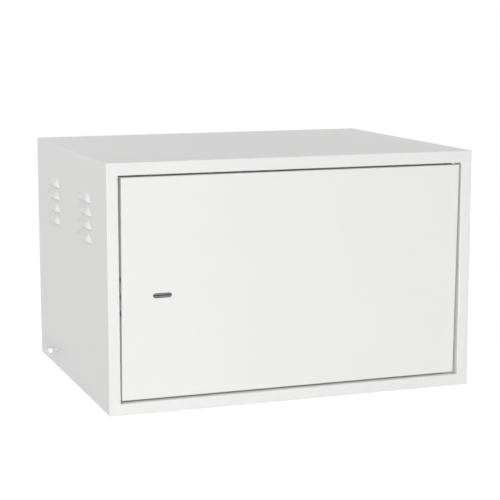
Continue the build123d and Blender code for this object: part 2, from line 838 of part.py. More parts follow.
# Lever pack: flat levers on one post, each with a gate window round the bolt's stump
post_across = key_across + lever_post_across
gate_near = post_across - stump_across - stump_radius - gate_clearance
gate_far = post_across - stump_across + throw_travel + stump_radius + gate_clearance
gate_drop = gate_far * math.sin(math.radians(lever_lift_degrees)) + stump_radius + gate_clearance
gate_rise = stump_radius + gate_clearance
gate_middle = (post_across - (gate_near + gate_far) / 2, stump_up + (gate_rise - gate_drop) / 2)
lever_fronts = [lever_front + index * (lever_thickness + lever_gap) for index in range(lever_count)]
with BuildPart() as lever_pack:
    for depth in lever_fronts:
        with BuildSketch(in_leaf(depth)):
            with Locations((post_across - lever_length / 2, stump_up + (lever_above - lever_below) / 2)):
                Rectangle(lever_length, lever_above + lever_below)
            with Locations((post_across, stump_up)):
                Circle(lever_eye_radius)
                Circle(lever_post_radius + running_gap, mode=Mode.SUBTRACT)
            with Locations(gate_middle):
                Rectangle(gate_far - gate_near, gate_rise + gate_drop, mode=Mode.SUBTRACT)
        extrude(amount=-lever_thickness)
write(lever_pack, "lever_pack")

with BuildPart() as lever_post:
    with BuildSketch(in_leaf(lock_front + lock_plate)):
        with Locations((post_across, stump_up)):
            Circle(lever_post_radius)
    extrude(amount=-(lock_depth - lock_plate))
write(lever_post, "lever_post")

# Comb spring: a foot on the roof of the case and one finger above each lever
roof_up = key_up + lock_height / 2 - lock_wall
lever_top_lifted = stump_up + lever_above + spring_contact * math.sin(math.radians(lever_lift_degrees))
finger_tip_up = lever_top_lifted + spring_clearance
finger_root = post_across - spring_foot / 2
with BuildPart() as lever_spring:
    with BuildSketch(across_leaf(finger_root, roof_up - spring_thickness, lever_front + lever_stack / 2)):
        Rectangle(spring_foot, lever_stack)
    extrude(amount=spring_thickness)
    for depth in lever_fronts:
        with BuildSketch(in_leaf(depth)):
            with BuildLine():
                Polyline(
                    (finger_root, roof_up),
                    (finger_root, roof_up - spring_thickness),
                    (post_across - spring_contact, finger_tip_up),
                    (post_across - spring_contact, finger_tip_up + spring_thickness),
                    close=True,
                )
            make_face()
        extrude(amount=-lever_thickness)
write(lever_spring, "lever_spring")

# Strike plate welded behind the latch jamb
strike_front = -half_width + frame_side - sheet
strike_height = throw_pitch * (throw_count - 1) + 2 * (throw_radius + strike_margin)
strike_centre = leaf.from_local_coords(Vector(strike_front, key_up, -bolt_centre_depth))
with BuildPart() as strike_plate:
    with BuildSketch(Plane(origin=strike_centre, x_dir=(0, 0, 1), z_dir=(-1, 0, 0))):
        Rectangle(strike_height, strike_depth)
    extrude(amount=strike_thickness)
    for up in throw_ups:
        with BuildSketch(along_throw(strike_front, up, bolt_centre_depth)):
            Circle(throw_radius + strike_clearance)
        extrude(amount=strike_thickness, mode=Mode.SUBTRACT)
write(strike_plate, "strike_plate")

# Rubber door buffers pressed into the stop lip, each as long as the leaning leaf leaves room for
with BuildPart() as door_buffers:
    for z in buffer_heights:
        leaf_back = front + foot_set_in - (z - leaf_foot) * math.tan(lean) + leaf_depth / math.cos(lean)
        length = front + jamb_depth - leaf_back - buffer_radius * math.tan(lean) - buffer_gap
        with BuildSketch(facing_front(front + jamb_depth)):
            with Locations((-half_width + frame_side + stop_lip / 2, z)):
                Circle(buffer_radius)
        extrude(amount=length)
        with BuildSketch(facing_front(front + jamb_depth)):
            with Locations((-half_width + frame_side + stop_lip / 2, z)):
                Circle(buffer_stem_radius)
        extrude(amount=-buffer_stem_length)
write(door_buffers, "door_buffers")

# Rack rails
with BuildPart() as right_rack_rail:
    with BuildSketch(Plane.XY.offset(rail_foot)):
        with BuildLine():
            fold = FilletPolyline(
                (rack_clear_width / 2, rail_front),
                (rail_outside, rail_front),
                (rail_outside, rail_front + rail_leg),
                radius=rail_bend_radius,
            )
            offset(fold, amount=rail_sheet, side=Side.LEFT)
        make_face()
    extrude(amount=rail_head - rail_foot)
    with BuildSketch(facing_front(rail_front)):
        for unit in range(rack_units):
            for height in rack_unit_holes:
                with Locations((rack_hole_spread / 2, rack_foot + unit * rack_unit + height)):
                    Rectangle(rack_hole_square, rack_hole_square)
    extrude(amount=-rail_sheet, mode=Mode.SUBTRACT)
    for web in support_webs.values():
        with BuildSketch(facing_left(rail_outside - rail_sheet)):
            with Locations((-rail_bolt_y, web + rail_bolt_rise)):
                Circle(rail_bolt_radius + rail_bolt_clearance)
        extrude(amount=-rail_sheet, mode=Mode.SUBTRACT)
write(right_rack_rail, "right_rack_rail")

with BuildPart() as left_rack_rail:
    mirror(right_rack_rail.part, about=Plane.YZ)
write(left_rack_rail, "left_rack_rail")

support_front = front + support_from_front
support_length = casing_depth - support_from_front - support_from_rear
slot_pitch = support_length / support_slot_count


def rail_support(web):
    """Channel along the right side panel that carries the rack rails, its web at a height."""
    with BuildPart() as support:
        with BuildSketch(facing_front(support_front)):
            with BuildLine():
                fold = FilletPolyline(
                    (half_width - sheet, web + support_leg),
                    (half_width - sheet, web),
                    (rail_outside, web),
                    (rail_outside, web + support_leg),
                    radius=bend_radius,
                )
                offset(fold, amount=sheet, side=Side.RIGHT)
            make_face()
        extrude(amount=-support_length)
        with BuildSketch(facing_left(rail_outside)):
            for index in range(support_slot_count):
                y = rail_bolt_y + index * slot_pitch
                with Locations((-y, web + rail_bolt_rise)):
                    SlotOverall(support_slot_length, 2 * (rail_bolt_radius + rail_bolt_clearance))
        extrude(amount=-sheet, mode=Mode.SUBTRACT)
    return support


def mirrored(piece):
    """The same piece on the left of the cabinet."""
    with BuildPart() as other:
        mirror(piece.part, about=Plane.YZ)
    return other


for level, web in support_webs.items():
    right_support = rail_support(web)
    write(right_support, f"{level}_right_support")
    write(mirrored(right_support), f"{level}_left_support")

# Bolts and nuts that hold the rack rails on their supports
bolt_grip = rail_sheet + sheet
with BuildPart() as right_rail_bolts:
    for web in support_webs.values():
        with BuildSketch(Plane.YZ.offset(rail_outside + sheet)):
            with Locations((rail_bolt_y, web + rail_bolt_rise)):
                RegularPolygon(rail_bolt_head_across / 2, 6, major_radius=False)
        extrude(amount=rail_bolt_head)
        with BuildSketch(Plane.YZ.offset(rail_outside + sheet)):
            with Locations((rail_bolt_y, web + rail_bolt_rise)):
                Circle(rail_bolt_radius)
        extrude(amount=-(bolt_grip + rail_nut_height + rail_bolt_end))

with BuildPart() as rail_bolts:
    add(right_rail_bolts.part)
    mirror(right_rail_bolts.part, about=Plane.YZ)
write(rail_bolts, "rail_bolts")

with BuildPart() as right_rail_nuts:
    for web in support_webs.values():
        with BuildSketch(Plane.YZ.offset(rail_outside - rail_sheet)):
            with Locations((rail_bolt_y, web + rail_bolt_rise)):
                RegularPolygon(rail_bolt_head_across / 2, 6, major_radius=False)
                Circle(rail_bolt_radius + pin_fit, mode=Mode.SUBTRACT)
        extrude(amount=-rail_nut_height)

with BuildPart() as rail_nuts:
    add(right_rail_nuts.part)
    mirror(right_rail_nuts.part, about=Plane.YZ)
write(rail_nuts, "rail_nuts")

# Earthing stud: a bolt through the left side panel, welded by its head inside, with its washer and nut
ground_place = (-ground_y, ground_height)
with BuildPart() as ground_stud:
    with BuildSketch(facing_left(-half_width + sheet)):
        with Locations(ground_place):
            RegularPolygon(ground_head_across / 2, 6, major_radius=False, rotation=30)
    extrude(amount=-ground_head)
    with BuildSketch(facing_left(-half_width + sheet)):
        with Locations(ground_place):
            Circle(ground_radius)
    extrude(amount=sheet + ground_length)
    stud_tip = ground_stud.faces().sort_by(Axis.X)[0]
    chamfer(stud_tip.edges(), chamfer_size)
write(ground_stud, "ground_stud")

with BuildPart() as ground_washer:
    with BuildSketch(facing_left(-half_width - ground_nut_from_wall + ground_washer_thickness)):
        with Locations(ground_place):
            Circle(ground_washer_radius)
            Circle(ground_radius + ground_fit, mode=Mode.SUBTRACT)
    extrude(amount=ground_washer_thickness)
write(ground_washer, "ground_washer")

with BuildPart() as ground_nut:
    with BuildSketch(facing_left(-half_width - ground_nut_from_wall)):
        with Locations(ground_place):
            RegularPolygon(ground_head_across / 2, 6, major_radius=False, rotation=30)
            Circle(ground_radius + ground_fit, mode=Mode.SUBTRACT)
    extrude(amount=ground_nut_height)
write(ground_nut, "ground_nut")
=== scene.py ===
import json
import math

import bmesh
import bpy
from mathutils import Matrix, Vector


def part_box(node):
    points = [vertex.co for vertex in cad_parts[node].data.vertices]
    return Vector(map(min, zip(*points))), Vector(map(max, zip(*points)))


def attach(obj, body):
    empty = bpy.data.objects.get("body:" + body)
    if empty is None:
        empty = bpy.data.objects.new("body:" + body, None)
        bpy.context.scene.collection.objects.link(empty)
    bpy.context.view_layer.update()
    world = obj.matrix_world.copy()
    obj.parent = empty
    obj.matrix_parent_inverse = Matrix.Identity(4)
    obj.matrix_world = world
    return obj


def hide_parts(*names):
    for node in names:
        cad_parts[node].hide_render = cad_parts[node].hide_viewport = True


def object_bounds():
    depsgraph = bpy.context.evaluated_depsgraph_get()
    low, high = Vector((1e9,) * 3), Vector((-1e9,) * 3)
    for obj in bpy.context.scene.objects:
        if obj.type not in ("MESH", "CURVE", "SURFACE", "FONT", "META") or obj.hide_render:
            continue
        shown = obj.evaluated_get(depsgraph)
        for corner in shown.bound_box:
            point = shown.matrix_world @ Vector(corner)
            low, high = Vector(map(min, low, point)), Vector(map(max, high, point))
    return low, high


# Wall cabinet for rack equipment: its finishes, its pressed and threaded pieces, and a plain white studio.
# Metres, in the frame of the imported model: X right, Y back, Z up from the middle of the underside.

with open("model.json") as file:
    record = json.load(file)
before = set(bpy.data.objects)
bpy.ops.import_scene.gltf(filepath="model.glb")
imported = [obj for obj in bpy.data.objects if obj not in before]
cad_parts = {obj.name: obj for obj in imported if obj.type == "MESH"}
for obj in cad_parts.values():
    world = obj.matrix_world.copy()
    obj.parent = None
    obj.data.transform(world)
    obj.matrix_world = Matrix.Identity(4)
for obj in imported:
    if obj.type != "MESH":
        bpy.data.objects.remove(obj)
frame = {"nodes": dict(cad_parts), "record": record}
cad_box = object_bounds()
scene = bpy.context.scene
MM = 0.001

# Sheet of the casing, and the face widths of the front frame, whose corner mitres the panels share
SHEET = 1.5 * MM
CORNER_RADIUS = 2.0 * MM
CORNER_STEPS = 5
REAR_FLANGE = 14.0 * MM
FRAME_SIDE = 18.0 * MM
FRAME_HEAD = 19.3 * MM
FRAME_FOOT = 18.2 * MM

# Louvres, in two columns on each side wall
LOUVRE_ROWS = 4
LOUVRE_PITCH = 20.6 * MM
LOUVRE_HEAD_MARGIN = 69.6 * MM
LOUVRE_FRONT_MARGIN = 133.0 * MM
LOUVRE_REAR_MARGIN = 125.5 * MM
LOUVRE_LENGTH = 80.0 * MM
LOUVRE_CREST = 42.0 * MM
LOUVRE_RISE = 14.0 * MM
LOUVRE_REACH = 7.0 * MM

# A louvre's curves: the bend at its head, as a share of its rise, and the powers that its slope and its ends
# follow, where 1 would be straight
LOUVRE_BEND = 0.1
LOUVRE_ROUNDING = 1.35
LOUVRE_END_FULLNESS = 2.3
LOUVRE_STEPS_ALONG = 56
LOUVRE_STEPS_UP = 18
LOUVRE_CREASE = math.radians(16)

# Fasteners. A hexagon is measured across its flats.
STUD_RADIUS = 4.0 * MM
STUD_HEAD = 5.3 * MM
STUD_PITCH = 1.25 * MM
NUT_ACROSS = 13.0 * MM
RAIL_BOLT_RADIUS = 3.0 * MM
RAIL_BOLT_PITCH = 1.0 * MM
RAIL_BOLT_ACROSS = 10.0 * MM
RAIL_BOLT_HEAD = 4.0 * MM
LOCK_STUD_RADIUS = 2.5 * MM
LOCK_STUD_PITCH = 0.8 * MM
LOCK_NUT_ACROSS = 8.0 * MM
COVER_SCREW_RADIUS = 1.5 * MM
COVER_SCREW_HEAD_RADIUS = 2.8 * MM
COVER_SCREW_HEAD = 1.6 * MM
ENTRY_SCREW_RADIUS = 2.0 * MM
ENTRY_SCREW_HEAD_RADIUS = 3.8 * MM
ENTRY_SCREW_HEAD = 2.2 * MM

# Threads: their depth as a share of the pitch, and the tip's chamfer as a share of that depth
THREAD_DEPTH = 0.52
THREAD_TIP = 1.1
THREAD_RINGS_PER_PITCH = 8
THREAD_TURN_STEPS = 40

# Heads, nuts and washers: a chamfer's flat and a countersink as shares of the size across flats, a washer's
# rounded edge as a share of its thickness, and a screw's socket as a share of its head's radius
CHAMFER_FLAT = 0.97
CHAMFER_SLOPE = math.tan(math.radians(30))
NUT_COUNTERSINK = 0.08
WASHER_EDGE = 0.2
SCREW_SOCKET = 0.75
SCREW_HEAD_STEPS = 5
TURN_STEPS = 48
FASTENER_CREASE = math.radians(25)

# Points of a CAD mesh that are this close are one point
WELD_DISTANCE = 0.001 * MM

# Planes of the casing
FRONT = cad_box[0].y
REAR = cad_box[1].y
TOP = cad_box[1].z
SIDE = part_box("right_side_panel")[1].x - LOUVRE_REACH


# Finishes

def linear(code):
    """Linear colour, with alpha, of an sRGB hex code such as ECECEB."""
    levels = [int(code[i:i + 2], 16) / 255 for i in (0, 2, 4)]
    return [c / 12.92 if c <= 0.04045 else ((c + 0.055) / 1.055) ** 2.4 for c in levels] + [1.0]


def add(tree, kind, inputs=None, **settings):
    """Adds a node with its settings. inputs gives each socket its value, or the socket that feeds it."""
    node = tree.nodes.new(kind)
    for name, value in settings.items():
        setattr(node, name, value)
    for socket, value in (inputs or {}).items():
        if isinstance(value, bpy.types.NodeSocket):
            tree.links.new(value, node.inputs[socket])
        else:
            node.inputs[socket].default_value = value
    return node


def new_material(name, **values):
    """A new material with values set on its surface shader, then its node tree, that shader, and the place
    of each point in metres."""
    material = bpy.data.materials.new(name)
    material.use_nodes = True
    tree = material.node_tree
    shader = tree.nodes["Principled BSDF"]
    for socket, value in values.items():
        shader.inputs[socket.replace("_", " ")].default_value = value
    place = add(tree, "ShaderNodeTexCoord").outputs["Object"]
    return material, tree, shader, place


def powder_coat():
    """Polyester powder coat, baked on steel sheet. It melts into a semi-matt skin with a slight orange peel,
    so highlights spread wide and break up finely, and the tone drifts a little with the coat's thickness."""
    material, tree, shader, place = new_material("polyester_powder_coat", IOR=1.5)
    peel_size = 2.6 * MM
    grain_size = 0.7 * MM
    drift_size = 140 * MM
    drift = add(tree, "ShaderNodeTexNoise", {"Vector": place, "Scale": 1 / drift_size, "Detail": 2.0})
    tone = add(
        tree,
        "ShaderNodeMix",
        {0: drift.outputs["Fac"], 6: linear("EDEDEC"), 7: linear("F0F0EF")},
        data_type="RGBA",
    )
    tree.links.new(tone.outputs[2], shader.inputs["Base Color"])
    peel = add(tree, "ShaderNodeTexNoise", {"Vector": place, "Scale": 1 / peel_size, "Detail": 1.0})
    grain = add(tree, "ShaderNodeTexNoise", {"Vector": place, "Scale": 1 / grain_size, "Detail": 2.0})
    gloss = add(
        tree,
        "ShaderNodeMapRange",
        {"Value": grain.outputs["Fac"], "To Min": 0.36, "To Max": 0.48},
    )
    tree.links.new(gloss.outputs["Result"], shader.inputs["Roughness"])
    waves = add(
        tree,
        "ShaderNodeBump",
        {"Height": peel.outputs["Fac"], "Strength": 0.35, "Distance": 0.06 * MM},
    )
    grit = add(
        tree,
        "ShaderNodeBump",
        {
            "Height": grain.outputs["Fac"],
            "Strength": 0.3,
            "Distance": 0.02 * MM,
            "Normal": waves.outputs["Normal"],
        },
    )
    tree.links.new(grit.outputs["Normal"], shader.inputs["Normal"])
    return material


def galvanised_sheet():
    """Hot-dip galvanised steel sheet. The zinc freezes in flat crystals, the spangle, each a little lighter
    or darker and shinier or duller than the next."""
    material, tree, shader, place = new_material("galvanised_sheet", Metallic=1.0)
    spangle_size = 9 * MM
    ragged_size = 4 * MM
    ragged_reach = 2.5 * MM
    ragged = add(tree, "ShaderNodeTexNoise", {"Vector": place, "Scale": 1 / ragged_size, "Detail": 2.0})
    shifted = add(
        tree,
        "ShaderNodeVectorMath",
        {0: ragged.outputs["Color"], 1: (ragged_reach, ragged_reach, ragged_reach), 2: place},
        operation="MULTIPLY_ADD",
    )
    crystals = add(tree, "ShaderNodeTexVoronoi", {"Vector": shifted.outputs[0], "Scale": 1 / spangle_size})
    shade = add(tree, "ShaderNodeSeparateColor", {"Color": crystals.outputs["Color"]})
    tone = add(
        tree,
        "ShaderNodeMix",
        {0: shade.outputs["Red"], 6: linear("AEB2B5"), 7: linear("C9CDCF")},
        data_type="RGBA",
    )
    tree.links.new(tone.outputs[2], shader.inputs["Base Color"])
    gloss = add(
        tree,
        "ShaderNodeMapRange",
        {"Value": shade.outputs["Green"], "To Min": 0.34, "To Max": 0.52},
    )
    tree.links.new(gloss.outputs["Result"], shader.inputs["Roughness"])
    return material


def zinc_plate(name, warm, cool, smooth, dull):
    """Steel with an electroplated zinc coat, passivated clear. It is cool grey, with a faint warm and blue
    bloom from the passivation and fine rolling lines under the plate. Lock sheet is plated on a rack and
    stays bright. Fasteners are tumbled in a barrel, so they come out paler and duller."""
    material, tree, shader, place = new_material(name, Metallic=1.0)
    bloom_size = 7 * MM
    line_size = 0.5 * MM
    line_stretch = 0.06
    bloom = add(tree, "ShaderNodeTexNoise", {"Vector": place, "Scale": 1 / bloom_size, "Detail": 3.0})
    tone = add(
        tree,
        "ShaderNodeMix",
        {0: bloom.outputs["Fac"], 6: linear(warm), 7: linear(cool)},
        data_type="RGBA",
    )
    tree.links.new(tone.outputs[2], shader.inputs["Base Color"])
    stretched = add(tree, "ShaderNodeMapping", {"Vector": place, "Scale": (line_stretch, 1.0, 1.0)})
    lines = add(
        tree,
        "ShaderNodeTexNoise",
        {"Vector": stretched.outputs["Vector"], "Scale": 1 / line_size, "Detail": 2.0},
    )
    gloss = add(
        tree,
        "ShaderNodeMapRange",
        {"Value": lines.outputs["Fac"], "To Min": smooth, "To Max": dull},
    )
    tree.links.new(gloss.outputs["Result"], shader.inputs["Roughness"])
    relief = add(
        tree,
        "ShaderNodeBump",
        {"Height": lines.outputs["Fac"], "Strength": 0.25, "Distance": 0.02 * MM},
    )
    tree.links.new(relief.outputs["Normal"], shader.inputs["Normal"])
    return material


def phosphated_steel():
    """Steel sheet with an oiled zinc phosphate coat. It is dark grey and dull, streaked by the rolling."""
    material, tree, shader, place = new_material("phosphated_steel", Metallic=1.0)
    streak_size = 1.1 * MM
    streak_stretch = 0.07
    stretched = add(tree, "ShaderNodeMapping", {"Vector": place, "Scale": (streak_stretch, 1.0, 1.0)})
    streaks = add(
        tree,
        "ShaderNodeTexNoise",
        {"Vector": stretched.outputs["Vector"], "Scale": 1 / streak_size, "Detail": 3.0},
    )
    tone = add(
        tree,
        "ShaderNodeMix",
        {0: streaks.outputs["Fac"], 6: linear("525354"), 7: linear("868889")},
        data_type="RGBA",
    )
    tree.links.new(tone.outputs[2], shader.inputs["Base Color"])
    gloss = add(
        tree,
        "ShaderNodeMapRange",
        {"Value": streaks.outputs["Fac"], "To Min": 0.42, "To Max": 0.6},
    )
    tree.links.new(gloss.outputs["Result"], shader.inputs["Roughness"])
    return material


def shade_darkened_pin_steel():
    """Steel of the pivot pins, with fine lines along its length. Its plain mid grey is painted shade, darker
    than the steel itself, for the shadowed gap between door and frame where the pins sit.
    """
    material, tree, shader, place = new_material("shade_darkened_pin_steel", Metallic=1.0)
    line_size = 0.4 * MM
    line_stretch = 0.05
    stretched = add(tree, "ShaderNodeMapping", {"Vector": place, "Scale": (1.0, 1.0, line_stretch)})
    lines = add(
        tree,
        "ShaderNodeTexNoise",
        {"Vector": stretched.outputs["Vector"], "Scale": 1 / line_size, "Detail": 3.0},
    )
    # Painted shade: a mid grey, darker than the pins' own steel, for the gap they sit in
    tone = add(
        tree,
        "ShaderNodeMix",
        {0: lines.outputs["Fac"], 6: linear("7E7E7C"), 7: linear("9C9C9E")},
        data_type="RGBA",
    )
    tree.links.new(tone.outputs[2], shader.inputs["Base Color"])
    gloss = add(
        tree,
        "ShaderNodeMapRange",
        {"Value": lines.outputs["Fac"], "To Min": 0.34, "To Max": 0.5},
    )
    tree.links.new(gloss.outputs["Result"], shader.inputs["Roughness"])
    return material


def rolled_brass():
    """Rolled brass sheet, blanked and left bare. Rolling leaves fine lines along the levers, and air has
    dulled the yellow a little."""
    material, tree, shader, place = new_material("rolled_brass", Metallic=1.0)
    line_size = 0.4 * MM
    line_stretch = 0.05
    stretched = add(tree, "ShaderNodeMapping", {"Vector": place, "Scale": (line_stretch, 1.0, 1.0)})
    lines = add(
        tree,
        "ShaderNodeTexNoise",
        {"Vector": stretched.outputs["Vector"], "Scale": 1 / line_size, "Detail": 3.0},
    )
    tone = add(
        tree,
        "ShaderNodeMix",
        {0: lines.outputs["Fac"], 6: linear("C9A65C"), 7: linear("DEC07A")},
        data_type="RGBA",
    )
    tree.links.new(tone.outputs[2], shader.inputs["Base Color"])
    gloss = add(
        tree,
        "ShaderNodeMapRange",
        {"Value": lines.outputs["Fac"], "To Min": 0.25, "To Max": 0.4},
    )
    tree.links.new(gloss.outputs["Result"], shader.inputs["Roughness"])
    return material


def natural_nylon():
    """Moulded natural nylon: milky grey-white, waxy, with a soft satin skin from the mould."""
    material, tree, shader, place = new_material(
        "natural_nylon",
        IOR=1.53,
        Subsurface_Weight=0.15,
        Subsurface_Scale=1.5 * MM,
    )
    cloud_size = 3 * MM
    cloud = add(tree, "ShaderNodeTexNoise", {"Vector": place, "Scale": 1 / cloud_size, "Detail": 2.0})
    tone = add(
        tree,
        "ShaderNodeMix",
        {0: cloud.outputs["Fac"], 6: linear("C9C8C3"), 7: linear("D5D4CF")},
        data_type="RGBA",
    )
    tree.links.new(tone.outputs[2], shader.inputs["Base Color"])
    gloss = add(
        tree,
        "ShaderNodeMapRange",
        {"Value": cloud.outputs["Fac"], "To Min": 0.38, "To Max": 0.5},
    )
    tree.links.new(gloss.outputs["Result"], shader.inputs["Roughness"])
    return material


def moulded_rubber():
    """Moulded black rubber with a grey bloom. It is matt, with a fine grain from the mould."""
    material, tree, shader, place = new_material("moulded_rubber", IOR=1.52)
    bloom_size = 6 * MM
    grain_size = 0.5 * MM
    bloom = add(tree, "ShaderNodeTexNoise", {"Vector": place, "Scale": 1 / bloom_size, "Detail": 4.0})
    tone = add(
        tree,
        "ShaderNodeMix",
        {0: bloom.outputs["Fac"], 6: linear("1E1E1F"), 7: linear("303031")},
        data_type="RGBA",
    )
    tree.links.new(tone.outputs[2], shader.inputs["Base Color"])
    grain = add(tree, "ShaderNodeTexNoise", {"Vector": place, "Scale": 1 / grain_size, "Detail": 1.0})
    gloss = add(
        tree,
        "ShaderNodeMapRange",
        {"Value": grain.outputs["Fac"], "To Min": 0.6, "To Max": 0.82},
    )
    tree.links.new(gloss.outputs["Result"], shader.inputs["Roughness"])
    relief = add(
        tree,
        "ShaderNodeBump",
        {"Height": grain.outputs["Fac"], "Strength": 0.4, "Distance": 0.05 * MM},
    )
    tree.links.new(relief.outputs["Normal"], shader.inputs["Normal"])
    return material


def coat(node, material):
    """Gives a CAD node its finish."""
    for material_slot in frame["nodes"][node].material_slots:
        material_slot.material = material


bright_zinc = zinc_plate("bright_zinc_plate", warm="BFBEB9", cool="B7BDC2", smooth=0.3, dull=0.44)
barrel_zinc = zinc_plate("barrel_zinc_plate", warm="E3E1DB", cool="DDE2E6", smooth=0.6, dull=0.78)
finishes = {
    "powder_coat": powder_coat(),
    "galvanised_sheet": galvanised_sheet(),
    "zinc_plated_steel": bright_zinc,
    "phosphated_steel": phosphated_steel(),
    "lever_brass": rolled_brass(),
    "nylon": natural_nylon(),
    "black_rubber": moulded_rubber(),
}
# The pivot pins get a darker grey than their plating, as painted shade of the gap where they sit
pin_shade_darkened_finish = shade_darkened_pin_steel()
for subpart in frame["record"]["subparts"]:
    coat(subpart["node"], finishes[subpart["material_slot"]])
for pin in ("upper_pivot_pin", "lower_pivot_pin"):
    coat(pin, pin_shade_darkened_finish)


# Pieces

def make_piece(name, bm, body, slot, material, crease, *replaced):
    """A finished mesh as an object with a material, which rides on a body and stands for CAD nodes. Edges
    that turn by more than the crease stay sharp. The slot is not used."""
    mesh = bpy.data.meshes.new(name)
    bm.to_mesh(mesh)
    bm.free()
    mesh.shade_smooth()
    mesh.set_sharp_from_angle(angle=crease)
    piece = bpy.data.objects.new(name, mesh)
    scene.collection.objects.link(piece)
    mesh.materials.append(material)
    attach(piece, body)
    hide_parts(*replaced)


# Louvred side walls

def thicken(bm, thickness):
    """Gives an open surface the thickness of its sheet, on the side away from its normals."""
    bm.normal_update()
    outside = list(bm.faces)
    inner = {v: bm.verts.new(v.co - v.normal * thickness) for v in list(bm.verts)}
    loops = [loop for face in outside for loop in face.loops]
    rims = [(loop.vert, loop.link_loop_next.vert) for loop in loops if loop.edge.is_boundary]
    for face in outside:
        bm.faces.new([inner[v] for v in reversed(face.verts)])
    for a, b in rims:
        bm.faces.new([b, a, inner[a], inner[b]])


def louvre_half(up):
    """Half the length of a louvre's outline on the wall, at a height above its mouth. At its head it is as
    long as its crest."""
    return (LOUVRE_LENGTH + (LOUVRE_CREST - LOUVRE_LENGTH) * up / LOUVRE_RISE) / 2


def louvre_height(along, up):
    """Height of a pressed louvre over the wall. It swells from a soft bend at its head and levels out
    towards its lip, and its ends curve over, ever steeper, down to the wall."""
    down = 1 - up / LOUVRE_RISE
    swell = down * down / (2 * LOUVRE_BEND) if down < LOUVRE_BEND else down - LOUVRE_BEND / 2
    swell = 1 - (1 - swell / (1 - LOUVRE_BEND / 2)) ** LOUVRE_ROUNDING
    past_crest = abs(along) - LOUVRE_CREST / 2
    draw = 0.0
    if past_crest > 0:
        draw = min(past_crest / (louvre_half(up) - LOUVRE_CREST / 2), 1.0)
    return LOUVRE_REACH * swell * (1 - draw ** LOUVRE_END_FULLNESS)


def lip_lift(along):
    """How far the lip rises off its slit: the sheet keeps its length as it is pressed out."""
    return LOUVRE_RISE - math.sqrt(LOUVRE_RISE ** 2 - louvre_height(along, 0.0) ** 2)


def side_stations():
    """Stations along a side wall from front to rear: a place, and on a louvre a share of its half length."""
    middles = (FRONT + LOUVRE_FRONT_MARGIN, REAR - LOUVRE_REAR_MARGIN)
    shares = [-math.cos(math.pi * i / LOUVRE_STEPS_ALONG) for i in range(LOUVRE_STEPS_ALONG + 1)]
    on_louvres = [(middle, share) for middle in middles for share in shares]
    return [(FRONT + SHEET, None), *on_louvres, (REAR, None)]


def rear_flange(bm, side):
    """The wall's flange behind the rear panel, from the wall's sheet inwards, mitred at head and foot."""
    outer = SHEET
    inner = SHEET + REAR_FLANGE
    foot_mitre = FRAME_FOOT / FRAME_SIDE
    head_mitre = FRAME_HEAD / FRAME_SIDE
    corners = [
        (outer, outer * foot_mitre),
        (inner, inner * foot_mitre),
        (inner, TOP - inner * head_mitre),
        (outer, TOP - outer * head_mitre),
    ]
    flange = [bm.verts.new((side * (SIDE - inset), REAR - SHEET, z)) for inset, z in corners]
    bm.faces.new(flange[::side])


def louvred_side(name, side, *replaced):
    """A side wall with its pressed louvres, rounded into the top and the bottom, and its flange at the rear.
    The louvres' mouths are slits."""
    bm = bmesh.new()
    stations = side_stations()

    def line(inset, z, up=None):
        """A line of points along the wall. up is its height above a louvre's mouth, where it crosses one."""
        points = []
        for place, share in stations:
            y = place
            raised = 0.0
            lifted = 0.0
            if share is not None:
                half = louvre_half(up or 0.0)
                y += share * half
                if up is not None:
                    raised = louvre_height(share * half, up)
                    lifted = lip_lift(share * LOUVRE_LENGTH / 2) * (1 - up / LOUVRE_RISE)
            points.append(bm.verts.new((side * (SIDE - inset + raised), y, z + lifted)))
        return points

    def join(lower, upper):
        """Faces between two lines, without the corners that the lines share."""
        for i in range(len(stations) - 1):
            corners = [lower[i], lower[i + 1], upper[i + 1], upper[i]]
            corners = [v for n, v in enumerate(corners) if v not in corners[:n]]
            if len(corners) > 2:
                bm.faces.new(corners if side > 0 else corners[::-1])
        return upper

    angles = [math.radians(45 - 45 * i / CORNER_STEPS) for i in range(CORNER_STEPS + 1)]
    bend = [(CORNER_RADIUS * (1 - math.cos(a)), CORNER_RADIUS * (1 - math.sin(a))) for a in angles]
    reached = line(*bend[0])
    for inset, z in bend[1:]:
        reached = join(reached, line(inset, z))
    for row in reversed(range(LOUVRE_ROWS)):
        mouth = TOP - LOUVRE_HEAD_MARGIN - row * LOUVRE_PITCH
        reached = join(reached, line(0, mouth))
        # The lip leaves the wall along the slit, and shares its points from the slit's ends on
        lip = line(0, mouth, 0.0)
        for i, (place, share) in enumerate(stations):
            if share is None or abs(share) == 1.0:
                bm.verts.remove(lip[i])
                lip[i] = reached[i]
        reached = lip
        for step in range(1, LOUVRE_STEPS_UP + 1):
            up = LOUVRE_RISE * step / LOUVRE_STEPS_UP
            reached = join(reached, line(0, mouth + up, up))
    for inset, z in reversed(bend):
        reached = join(reached, line(inset, TOP - z))
    rear_flange(bm, side)
    thicken(bm, SHEET)
    make_piece(name, bm, "cabinet", "powder_coat", finishes["powder_coat"], LOUVRE_CREASE, *replaced)


louvred_side("left_louvred_side", -1, "left_side_panel")
louvred_side("right_louvred_side", 1, "right_side_panel")


# Fasteners, each drawn from a place with its Z axis along the fastener, and from the size of its solid

def hexagon_radius(turn, across):
    """Distance from a hexagon's middle to its side. Its corners are at 30 degrees and every 60 from there."""
    past_flat = (turn + math.pi / 6) % (math.pi / 3) - math.pi / 6
    return across / 2 / math.cos(past_flat)


def ring(radius, height):
    """One level ring of a lathe profile."""
    return lambda turn: (radius, height)


